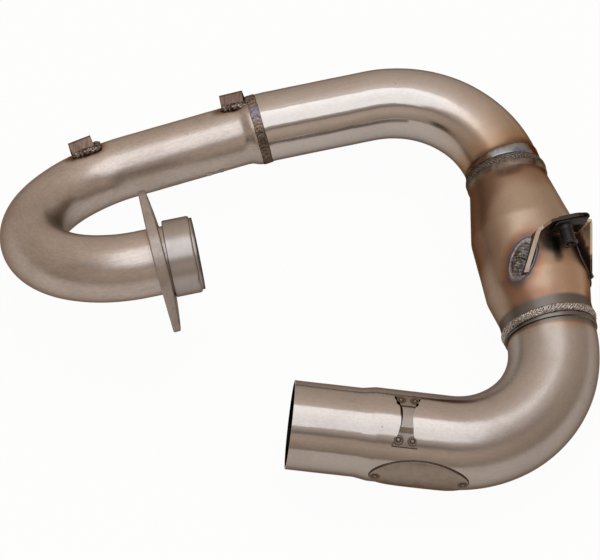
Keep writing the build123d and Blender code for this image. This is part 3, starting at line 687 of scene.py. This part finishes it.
# The mid pipe's end has a raised band from BAND_FROM to BAND_TO
BAND_FROM, BAND_TO, BAND_HEIGHT = MID_END - 10.5, MID_END - 5.0, 0.25
mid_outer = profile((0, MID_R), (ELBOW_FROM, MID_R), (BAND_FROM - 0.5, MID_END_R - BAND_HEIGHT),
                    (BAND_FROM, MID_END_R + BAND_HEIGHT), (BAND_TO, MID_END_R + BAND_HEIGHT),
                    (BAND_TO + 0.2, MID_END_R - 0.05), (MID_END + SPIGOT, MID_END_R))
mid_inner = profile((0, MID_R - WALL), (ELBOW_FROM, MID_R - WALL), (MID_END, MID_END_R - WALL))
pipe_skin("mid_pipe", "polished_stainless",
          dict(polish=[(0, 0.09), (ELBOW_FROM, 0.10), (MID_END, 0.28)], streak=0.3, stain=0.3, swell=0.06),
          mid_run, spots_to(0, mid_run.length, 1.5, BAND_FROM - 0.3, BAND_TO + 0.1),
          mid_outer, mid_inner, paint_mid, 132, 0.09)

RIM_FROM = TAIL_LEAD + 0.3
RIM_TO = RIM_FROM + RIM_WIDTH
RIM_EASE = 0.35
SLIP_FROM = TAIL_END - SLIP_LENGTH
tail_outer = profile((0, OUT_R), (RIM_FROM - 0.02, OUT_R), (RIM_FROM + RIM_EASE, OUT_R + RIM_HEIGHT),
                     (RIM_TO - RIM_EASE, OUT_R + RIM_HEIGHT), (RIM_TO, OUT_R),
                     (SLIP_FROM - SLIP_CONE, OUT_R), (SLIP_FROM, SLIP_R), (TAIL_END, SLIP_R))
tail_inner = profile((0, OUT_R - WALL), (SLIP_FROM - SLIP_CONE, OUT_R - WALL), (SLIP_FROM, SLIP_R - WALL))
pipe_skin("outlet_pipe", "outlet_stainless",
          dict(polish=[(0, 0.30), (95, 0.27), (150, 0.12)], streak=0.4, stain=0.5, swell=0.05),
          tail_run, spots_to(0, TAIL_END, 1.6, RIM_FROM, RIM_TO),
          tail_outer, tail_inner, paint_outlet, 144, 0.08)

CHAMBER_LIP = 0.45


def chamber_outer(s):
    return chamber_radius(s) + CHAMBER_LIP * float(np.interp(s, (0, 0.4, 3.2, 4.2), (0.4, 1, 1, 0)))


pipe_skin("resonance_chamber", "tinted_stainless", dict(polish=[(0, 0.34)], streak=0.8, stain=0.35),
          chamber_run, spots_to(0, CHAMBER_END, 1.0),
          chamber_outer, lambda s: chamber_radius(s) - WALL, paint_chamber, 200, 0.06)


# Round welds

def joint_patches(colour, at, spot, tone):
    """Dark crust with a stretch of straw, blue, purple and straw again across its top."""
    out = (at.to_3x3() @ Vector((spot.x, spot.y, 0))).normalized()
    back = out.dot(TOP_BACK)
    part = max(0.0, 1 - abs(back - 0.36) / 0.46) ** 0.6 * max(0.0, out.dot(TOP_FRONT)) ** 0.5
    level = back + 0.34 * wave(spot, 0.8) + 0.26 * wave(spot, 2.1)
    hue = GOLD * 1.1
    if 0.34 < level < 0.60:
        hue = BLUE * 2.2
    elif 0.12 < level <= 0.34:
        hue = PURPLE * 1.9
    part *= 0.30 + 0.70 * tone
    # Darker towards the bead's lower side: painted shade
    shade = 0.72 + 0.28 * clamp(0.5 + back)
    return [c * shade for c in between(colour, hue, part)]


JOINT_HALF_WIDTH, INLET_BEAD_LENGTH, OUTLET_BEAD_LENGTH = 3.3, 5.2, 5.2
BEAD_LAP, INLET_LAP, OUTLET_LAP = 0.1, 0.4, 0.6
CRUST = weld_metal("weld_crust", 0.30)
BRIGHT = weld_metal("weld_bright", 0.16, 0.7)
outlet_bead_from = CHAMBER_END - OUTLET_LAP

seam("mid_joint", CRUST, mid_joint,
     low=(-JOINT_HALF_WIDTH, MID_R - BEAD_LAP), high=(JOINT_HALF_WIDTH, MID_R - BEAD_LAP),
     height=0.45, pitch=3.4, ripple=0.22, grit=0.16,
     dark=(0.035, 0.026, 0.020), light=(0.40, 0.32, 0.25), patch=joint_patches, crown=0.28)
seam("chamber_inlet", CRUST, chamber_in,
     low=(-INLET_BEAD_LENGTH, MID_END_R + BEAD_LAP), high=(INLET_LAP, INLET_NECK_R),
     height=0.85, pitch=2.3, ripple=0.42, grit=0.22,
     dark=(0.04, 0.034, 0.031), light=(0.27, 0.235, 0.215))
seam("chamber_outlet", BRIGHT, chamber_in,
     low=(outlet_bead_from, OUTLET_NECK_R - BEAD_LAP),
     high=(outlet_bead_from + OUTLET_BEAD_LENGTH, OUT_R + BEAD_LAP),
     height=1.15, pitch=1.9, ripple=0.40, grit=0.36,
     dark=(0.06, 0.05, 0.045), light=(0.86, 0.81, 0.76))


# Tab welds, tacks

for tab, at in TABS.items():
    fillet(tab + "_tab", BRIGHT, tab_path(at), size=2.4, pitch=2.9,
           dark=(0.07, 0.052, 0.044), light=(0.46, 0.40, 0.36))


def joined(name, pieces):
    """One mesh from several (verts, faces)."""
    verts, faces = [], []
    for some, sides in pieces:
        start = len(verts)
        verts += some
        faces += [tuple(i + start for i in side) for side in sides]
    return mesh_object(name, verts, faces, sharp=60, pipe=verts)


def dome(at, outline, columns=28):
    """A small turned lump on a frame whose Z stands out of the surface, from its foot to its middle."""
    return [at @ Vector(p) for p in turned(outline, columns)], wrap(len(outline), columns, caps=True)


def standing(at, radius):
    """A frame on the pipe's outside with Z along the pipe frame's X."""
    return at @ Matrix.Translation((radius, 0, 0)) @ Matrix.Rotation(math.radians(90), 4, "Y")


TACK = [(TACK_R * math.cos(a), TACK_HEIGHT * math.sin(a) - 0.15) for a in np.linspace(0, 1.45, 7)]
tack_places = [standing(rolled(along(return_out, d), TACK_AZIMUTH), HEAD_R) for d in TACK_ALONG]
tacks = joined("tack_domes", [dome(at, TACK) for at in tack_places])
stand_in(tacks, "underside_tack_welds", sheet_metal("tack_metal", tuple(SATIN * 0.8), 0.32))


# Strap and plate welds: a raised middle, a groove and a ring

SPOT_TIP = 0.05
SPOT_SHARES = (1.0, 1.0, 0.9, 0.78, 0.66, 0.5, 0.36, 0.18, SPOT_TIP / SPOT_R)
SPOT_HEIGHTS = (-0.2, 0.05, 0.16, 0.10, -0.02, 0.02, 0.30, 0.42, 0.44)
SPOT_TONES = (0.05, 0.05, 0.30, 0.20, 0.06, 0.06, 0.22, 0.34, 0.36)
SPOT = [(SPOT_R * share, height) for share, height in zip(SPOT_SHARES, SPOT_HEIGHTS)]


def spot_welds(name, node, places):
    """A sheet's spot welds, dark at the foot and in the groove."""
    piece = joined(name, [dome(at, SPOT) for at in places])
    ring = len(piece.data.vertices) // (len(places) * len(SPOT_TONES))
    tones = np.tile(np.repeat(SPOT_TONES, ring), len(places))
    give(piece, "tint", np.outer(tones, (1.0, 0.83, 0.70)))
    stand_in(piece, node, weld_metal(name + "_metal", 0.28, 0.2))


strap_frame = rolled(along(tail_out, STRAP_ALONG), STRAP_AZIMUTH)
spot_half = STRAP_WIDTH / 2 - SPOT_INSET
strap_places = [standing(rolled(along(strap_frame, d), turn), OUT_R + STRAP_SHEET)
                for turn in (SPOT_TURN, -SPOT_TURN) for d in (spot_half, -spot_half)]
spot_welds("strap_spots", "strap_spot_welds", strap_places)
plate_frame = rolled(along(tail_out, PLATE_ALONG), PLATE_AZIMUTH)
tip_reach = PLATE_LENGTH / 2 - SPOT_INSET
tip_turn = math.degrees(math.asin((tip_reach - PLATE_ALONG) / (TAIL_R + OUT_R)))
tip_bend = rolled(bent(tail_in, TAIL_R, TAIL_ANGLE - tip_turn), PLATE_AZIMUTH)
plate_places = [standing(at, OUT_R + PLATE_SHEET) for at in (along(plate_frame, tip_reach), tip_bend)]
spot_welds("plate_spots", "plate_spot_welds", plate_places)


def on_outlet(across, distance, rise):
    """A point over the outlet pipe at a place of the oval plate's plan."""
    back = tail_out.inverted()
    out = plate_frame.to_3x3() @ Vector((1, 0, 0))
    start = plate_frame @ Vector((0, across, distance))
    low, high = 10.0, 60.0
    for _ in range(40):
        middle = (low + high) / 2
        p = back @ (start + out * middle)
        if p.z >= 0:
            gap = math.hypot(p.x, p.y) - OUT_R
        else:
            gap = math.hypot(math.hypot(TAIL_R - p.x, p.z) - TAIL_R, p.y) - OUT_R
        low, high = (middle, high) if gap < rise else (low, middle)
    return start + out * high, out


def plate_shadow_ring(steps=260, around=10, size=0.42):
    """A dark ring round the oval plate, a painted shadow of the gap at its edge."""
    verts = []
    ring = [on_outlet(PLATE_WIDTH / 2 * math.sin(a), PLATE_LENGTH / 2 * math.cos(a), 0.15)
            for a in np.linspace(0, math.tau, steps, endpoint=False)]
    for i, (p, out) in enumerate(ring):
        run = (ring[(i + 1) % steps][0] - ring[i - 1][0]).normalized()
        side = run.cross(out).normalized()
        for j in range(around):
            turn = math.tau * j / around
            verts.append(p + side * (size * math.cos(turn)) + side.cross(run) * (size * math.sin(turn)))
    return mesh_object("plate_gap_shadow", verts, wrap(steps, around, True))


# Dark ring at the plate's edge: painted shadow
plate_shadow_line = plate_shadow_ring()
dress(plate_shadow_line, sheet_metal("gap_shadow_dark", (0.09, 0.075, 0.065), 0.45, dirt=(0.16, 0.14, 0.12)))


# Bracket welds: a rippled mound with a smooth rim, on the outside of each leg

def mound(side, name, rings=30, columns=160):
    """One weld, from its middle to its foot inside the chamber's wall."""
    verts, tint, local = [], [], []
    for i in range(rings + 1):
        rho = i / rings
        for j in range(columns):
            turn = math.tau * j / columns
            u, w = BEAD_HALF_LONG * rho * math.cos(turn), BEAD_HALF_WIDE * rho * math.sin(turn)
            spot = Vector((u, w, 11.0 * side))
            ragged = 1 + 0.06 * wave((math.cos(turn), math.sin(turn), side), 2.2)
            place = BEAD_CENTRE + BEAD_AXIS * (u * ragged) + BEAD_ACROSS * (w * ragged)
            core = clamp(3.2 * (1 - rho / 0.80))
            mark = crescent(u / 2.1 + 0.5 * wave(spot, 0.3), w / 5.0)
            fleck = wave(spot, 0.7) + 0.6 * wave(spot, 1.7)
            rim = math.exp(-((rho - 0.86) / 0.11) ** 2)
            rise = 0.9 * rim + core * (1.05 + 0.55 * (mark - 0.5) + 0.32 * fleck)
            rise = rise if i < rings else -0.5
            verts.append(over_chamber(side * place.x, place.y, rise))
            tone = clamp(0.10 + 0.34 * mark + 0.50 * fleck)
            colour = np.array((0.05, 0.044, 0.04)) + np.array((0.40, 0.38, 0.36)) * tone
            blue = clamp(-(w + 1.0) / 2.5)
            colour = colour * (1 - blue) + (PURPLE * 0.6 + BLUE * 0.5) * blue
            smooth = rim * clamp(0.6 + 1.1 * wave(spot, 0.22), 0.15)
            colour = colour * (1 - smooth) + GREY * (0.85, 0.83, 0.82) * smooth
            # The right weld is darker: heat tint and painted shade under the tongue
            tint.append(colour if side > 0 else colour * (0.42, 0.36, 0.33))
            local.append(spot)
    faces = wrap(rings + 1, columns)
    faces = [f[::-1] for f in faces] if side > 0 else faces
    return mesh_object("bracket_mound_" + name, verts, faces, sharp=75, pipe=local, tint=tint)


for side, name in ((1, "left"), (-1, "right")):
    stand_in(mound(side, name), "bracket_weld_" + name, CRUST)


# The bracket's right leg above its low solid: a plate that tapers to the leg's end

WING_TOP, WING_END_RISE, WING_GAP = 48.6, 1.0, 0.7


def wing(steps=60, levels=10):
    verts, tint, local = [], [], []
    bend = Vector((-BRACKET_FLAT / 2, BRACKET_ALONG))
    start = Vector((-CLIP_EDGE - CLIP_OFFSET - CLIP_SHEET / 2 - WING_GAP, BRACKET_ALONG))
    end = Vector((-BRACKET_SPREAD, BRACKET_ALONG + BRACKET_LEG))
    flat, leg = bend - start, end - bend
    half = BRACKET_SHEET / 2 + 0.06
    end_height = math.sqrt(CHAMBER_R ** 2 - end.x ** 2) + WING_END_RISE
    for i in range(steps):
        d = (flat.length + leg.length) * i / (steps - 1)
        turn = float(ease(d - flat.length, -2.5, 2.5))
        run = (flat.normalized() * (1 - turn) + leg.normalized() * turn).normalized()
        side = Vector((run.y, -run.x)) * half
        past = max(0.0, d - flat.length) / leg.length
        middle = start + flat * min(1.0, d / flat.length) + leg * past
        foot = math.sqrt(CHAMBER_R ** 2 - middle.x ** 2)
        top = WING_TOP + (end_height - WING_TOP) * past
        lean = SIDE_SLOPE * max(0.0, 1 - d / flat.length)
        heights = np.linspace(foot - 1.2, top - 0.3, levels + 1)
        corners = [(-1, h) for h in heights] + [(-0.7, top), (0.7, top)]
        corners += [(1, h) for h in reversed(heights)]
        for share, height in corners:
            a, s = middle + side * share
            verts.append(bracket_frame @ Vector((height, a + lean * (height - CHAMBER_R - SCREW_RISE), s)))
            local.append((d, height, share))
            # Heat tint and painted shade low on the leg, and a brighter beige top edge as painted highlight
            unshaded = ease(height - foot + 2.5 * wave((d * 0.4, height * 0.2, 0), 1), 6.5, 9.5)
            tint.append(blend(RUST * (0.45, 0.45, 0.48), (0.82, 0.70, 0.58), unshaded))
    faces = wrap(steps, len(corners), caps=True)
    return mesh_object("bracket_right_wing", verts, faces, pipe=local, tint=tint)


right_wing = wing()
dress(right_wing, pipe_metal("wing_metal", [(0, 0.50)], streak=0.6, stain=0.3))


# Clip nut: a folded leaf with a lead-in lip, and a threaded barrel

screw = bracket_frame @ Matrix.Translation((CHAMBER_R + SCREW_RISE, 0, 0))
clip_axes = Matrix(((0, 0, 1, 0), (1, 0, 0, 0), (0, 1, 0, 0), (0, 0, 0, 1)))
clip_at = screw @ Matrix.Rotation(CLIP_LEAN, 4, "Z") @ clip_axes


def leaf_top(across):
    """The leaf's top, which stays below the tongue's sloping shoulder."""
    slope = (TONGUE_RISE - SHOULDER_RISE) / (TONGUE_SHOULDER - TONGUE_LEFT_TOP)
    sine, cosine = math.sin(CLIP_LEAN), math.cos(CLIP_LEAN)
    level = TONGUE_RISE - CLIP_DROP - SCREW_RISE + slope * TONGUE_LEFT_TOP
    return min(CLIP_HIGH, (level + across * (sine - slope * cosine)) / (cosine + slope * sine))


def strip(path, low, sheet):
    """A bent leaf: a path in (across, along) swept from low to the leaf's top, as thick as a sheet."""
    left, right = [], []
    for i, p in enumerate(path):
        a, b = Vector(path[max(0, i - 1)]), Vector(path[min(len(path) - 1, i + 1)])
        run = (b - a).normalized()
        side = Vector((-run.y, run.x)) * (sheet / 2)
        left.append(Vector(p) + side)
        right.append(Vector(p) - side)
    loop = left + right[::-1]
    n = len(loop)
    round_off = 0.22
    verts = []
    for share, lift, inset in ((0, 0, round_off), (0, round_off, 0), (1, -round_off, 0), (1, 0, round_off)):
        for k, p in enumerate(loop):
            q = p + (loop[n - 1 - k] - p) * (inset / sheet)
            height = low + (leaf_top(p.x) - low) * share + lift
            verts.append(clip_at @ Vector((q.x, q.y, height)))
    return verts, wrap(len(verts) // n, n, caps=True)


def clip_path():
    """The leaf's path: behind the tongue, round its side, along its front and out to the lead-in lip."""
    front, behind = BRACKET_ALONG + CLIP_OFFSET, BRACKET_ALONG - CLIP_OFFSET
    lip_shape = ((-3.2, 0.0), (-1.6, 0.15), (-0.4, 0.8), (0.5, 1.8))
    lip = [(CLIP_REACH + across, front + out) for across, out in lip_shape]
    end = [(CLIP_REACH - 2.6, behind), (CLIP_REACH - 4.0, behind)]
    far_leaf = [(a, behind) for a in np.linspace(end[-1][0] - 1, -CLIP_EDGE + 2, 8)]
    near_leaf = [(a, front) for a in np.linspace(-CLIP_EDGE + 2, lip[0][0] - 1, 8)]
    fold = [(-CLIP_EDGE - CLIP_OFFSET * math.sin(a), BRACKET_ALONG - CLIP_OFFSET * math.cos(a))
            for a in np.linspace(0, math.pi, 19)]
    return [*end, *far_leaf, *fold, *near_leaf, *lip]


def barrel():
    """The threaded barrel, with rings outside and a bore."""
    ring_pitch, ring_count, ring_depth = 1.25, 7, 0.22
    foot, lip, chamfer, columns = 0.9, 0.7, 0.5, 48
    start, end = CLIP_OFFSET, CLIP_OFFSET + BARREL_LENGTH
    outline = [(BARREL_R + foot, start + 0.3), (BARREL_R + 0.5, start + 0.9), (BARREL_R + 0.1, start + 1.8)]
    for k in range(ring_count):
        z = start + 2.4 + k * ring_pitch
        outline += [(BARREL_R, z), (BARREL_R - ring_depth, z + 0.35), (BARREL_R, z + 0.7)]
    outline += [(BARREL_R, end - 1.9), (BARREL_R + lip, end - 1.4), (BARREL_R + lip, end - 0.4)]
    outline += [(BARREL_R + 0.3, end), (THREAD_R + chamfer, end), (THREAD_R, end - chamfer)]
    outline += [(THREAD_R, start - 0.2), (BARREL_R + foot, start - 0.2)]
    nut = along(screw, BRACKET_ALONG)
    return [nut @ Vector(p) for p in turned(outline, columns)], wrap(len(outline), columns, True)


def black_steel():
    t = material_tree("black_steel")
    at = t.object_mm()
    cloud = t.noise(at, 0.25, 4.0, 0.6)
    base = t.mix(t.span(cloud, 0.4, 0.75), (0.008, 0.007, 0.007), (0.024, 0.020, 0.018))
    t.shader.inputs["Specular IOR Level"].default_value = 0.4
    normal = t.bump(t.noise(at, 1.8, 3.0), 0.15, 0.1)
    return t.finish(base, t.span(cloud, 0.3, 0.7, 0.22, 0.36), normal, metallic=0.0)


clip = joined("clip_nut_body", [strip(clip_path(), -CLIP_LOW, CLIP_SHEET), barrel()])
stand_in(clip, "clip_nut", black_steel())


# Collar

def collar_outline():
    """From the bore at the far end, over the outside and the rounded front edge, to the bore again."""
    round_r = COLLAR_R - COLLAR_ROUND
    front_edge = [(round_r + COLLAR_ROUND * math.sin(a), COLLAR_ROUND - COLLAR_ROUND * math.cos(a))
                  for a in np.linspace(0.2, math.pi / 2, 7)]
    outside = [(COLLAR_R, s) for s in np.linspace(3, COLLAR_LENGTH - 0.5, 8)]
    far_end = [(COLLAR_R - 0.4, COLLAR_LENGTH), (HEAD_R, COLLAR_LENGTH)]
    return [(HEAD_R, 0.0), (round_r, 0.0), *front_edge, *outside, *far_end][::-1]


collar = lathe("port_collar_ring", port, collar_outline(), 128)
stand_in(collar, "port_collar",
         turned_metal("turned_steel_metal", (0.40, 0.375, 0.36), 0.30, dark=(0.20, 0.175, 0.16)))


# Sheet pieces that keep their solids

TAB_METAL = sheet_metal("tab_metal", (0.21, 0.145, 0.115), 0.36, dirt=(0.095, 0.060, 0.045),
                        dirt_part=0.7, stretch=(0.5, 0.06, 0.06), lines=0.75)
SHEETS = {
    "port_flange": sheet_metal("flange_metal", (0.39, 0.345, 0.315), 0.42, dirt=(0.24, 0.205, 0.18),
                               dirt_part=0.5, stretch=(0.3, 1, 1), lines=0.10),
    # The bracket is painted dark high on its tongue: painted shade
    "shield_bracket": sheet_metal("bracket_metal", (0.42, 0.35, 0.29), 0.34, dirt=(0.20, 0.14, 0.10),
                                  painted_shade=(chamber_in, CHAMBER_R + 14.5, CHAMBER_R + 12.0)),
    "front_shield_tab": TAB_METAL,
    "rear_shield_tab": TAB_METAL,
    # The strap is painted dark along its foot on the pipe: painted shadow of the gap
    "spring_hook_strap": sheet_metal("strap_metal", (0.30, 0.265, 0.24), 0.38, dirt=(0.15, 0.122, 0.105),
                                     painted_shade=(tail_out, OUT_R + 0.55, OUT_R + 1.05), burns=strap_places),
    "oval_plate": sheet_metal("plate_metal", (0.30, 0.255, 0.218), 0.30, dirt=(0.16, 0.128, 0.106),
                              burns=plate_places),
}
for node, material in SHEETS.items():
    dress(nodes[node], material)


# Studio: white floor, an overhead soft light and warm surroundings

FLOOR_SIZE, FLOOR_LEVEL = 8, -0.0003
FLOOR_GLOW_SEEN, FLOOR_GLOW_MIRRORED = 0.96, 0.30


def floor():
    """A white floor that glows for the camera and less for mirrored rays, and keeps the object's shadow."""
    bpy.ops.mesh.primitive_plane_add(size=FLOOR_SIZE, location=(0, 0, FLOOR_LEVEL))
    plane = bpy.context.object
    plane.name = "floor"
    t = material_tree("floor_white")
    t.finish((0.82, 0.76, 0.71), 0.9, metallic=0.0)
    t.shader.inputs["Specular IOR Level"].default_value = 0.0
    path = t.add("LightPath", {})
    mirrored = t.math("MAXIMUM", path["Is Glossy Ray"], path["Is Transmission Ray"])
    seen_part = t.math("MULTIPLY", path["Is Camera Ray"], FLOOR_GLOW_SEEN)
    mirrored_part = t.math("MULTIPLY", mirrored, FLOOR_GLOW_MIRRORED)
    glowing = t.math("MAXIMUM", seen_part, mirrored_part)
    glow = t.add("Emission", {})[0]
    surface = t.add("MixShader", {0: glowing, 1: t.shader.outputs[0], 2: glow})[0]
    t.join(surface, t.nodes["Material Output"].inputs["Surface"])
    dress(plane, t.owner)


def studio(level=1.6):
    """Warm surroundings that change with height, by one ramp far away and one near, darker at both ends."""
    scene.world = bpy.data.worlds.new("studio")
    t = Tree(scene.world)
    x, y, z = t.parts(t.add("TexCoord", {})["Generated"])
    far = t.ramp(z, ((0.0, (0.43, 0.36, 0.30)), (0.5, (0.47, 0.39, 0.33)), (0.77, (0.55, 0.46, 0.40)),
                     (0.85, (0.60, 0.52, 0.46)), (0.92, (0.70, 0.63, 0.59))))
    near = t.ramp(z, ((0.0, (0.25, 0.20, 0.16)), (0.17, (0.32, 0.26, 0.21)), (0.45, (0.44, 0.36, 0.30)),
                      (0.62, (0.42, 0.34, 0.29)), (0.67, (0.24, 0.20, 0.17)), (0.71, (0.21, 0.175, 0.15)),
                      (0.76, (0.34, 0.29, 0.26)), (0.84, (0.48, 0.42, 0.39))))
    sky = t.mix(t.span(y, -0.35, 0.35), near, far)
    sky = t.mix(t.span(t.math("ABSOLUTE", x), 0.25, 1.0, 0.0, 0.38), sky, (0.16, 0.12, 0.09))
    background = t.nodes["Background"].inputs
    t.join(sky, background["Color"])
    t.join(level, background["Strength"])


def soft_light(size=1.22, height=1.25, back=-0.165, brightness=0.95):
    """A square panel over the object, a little towards the camera."""
    data = bpy.data.lights.new("panel", "AREA")
    data.size = size
    data.color = (0.90, 1.0, 1.08)
    data.energy = brightness * math.pi * size * size
    panel = bpy.data.objects.new("panel", data)
    panel.location = (0, back, height)
    panel.visible_camera = False
    scene.collection.objects.link(panel)


CAMERA_PLACE = (0.009565, -0.64934, 1.051519)
CAMERA_LOOK = Vector((-0.00573, 0.53405, -0.84542)).normalized()
CAMERA_RIGHT = Vector((0.99997, -0.00091, -0.00733)).normalized()
CAMERA_LENS, CAMERA_SENSOR = 117.24, 36


def camera():
    data = bpy.data.cameras.new("camera")
    data.lens = CAMERA_LENS
    data.sensor_width = CAMERA_SENSOR
    eye = bpy.data.objects.new("camera", data)
    scene.collection.objects.link(eye)
    turn = Matrix((CAMERA_RIGHT, CAMERA_RIGHT.cross(CAMERA_LOOK), -CAMERA_LOOK)).transposed()
    eye.matrix_world = turn.to_4x4()
    eye.location = CAMERA_PLACE
    scene.camera = eye


floor()
studio()
soft_light()
camera()
scene.view_settings.view_transform = "Standard"
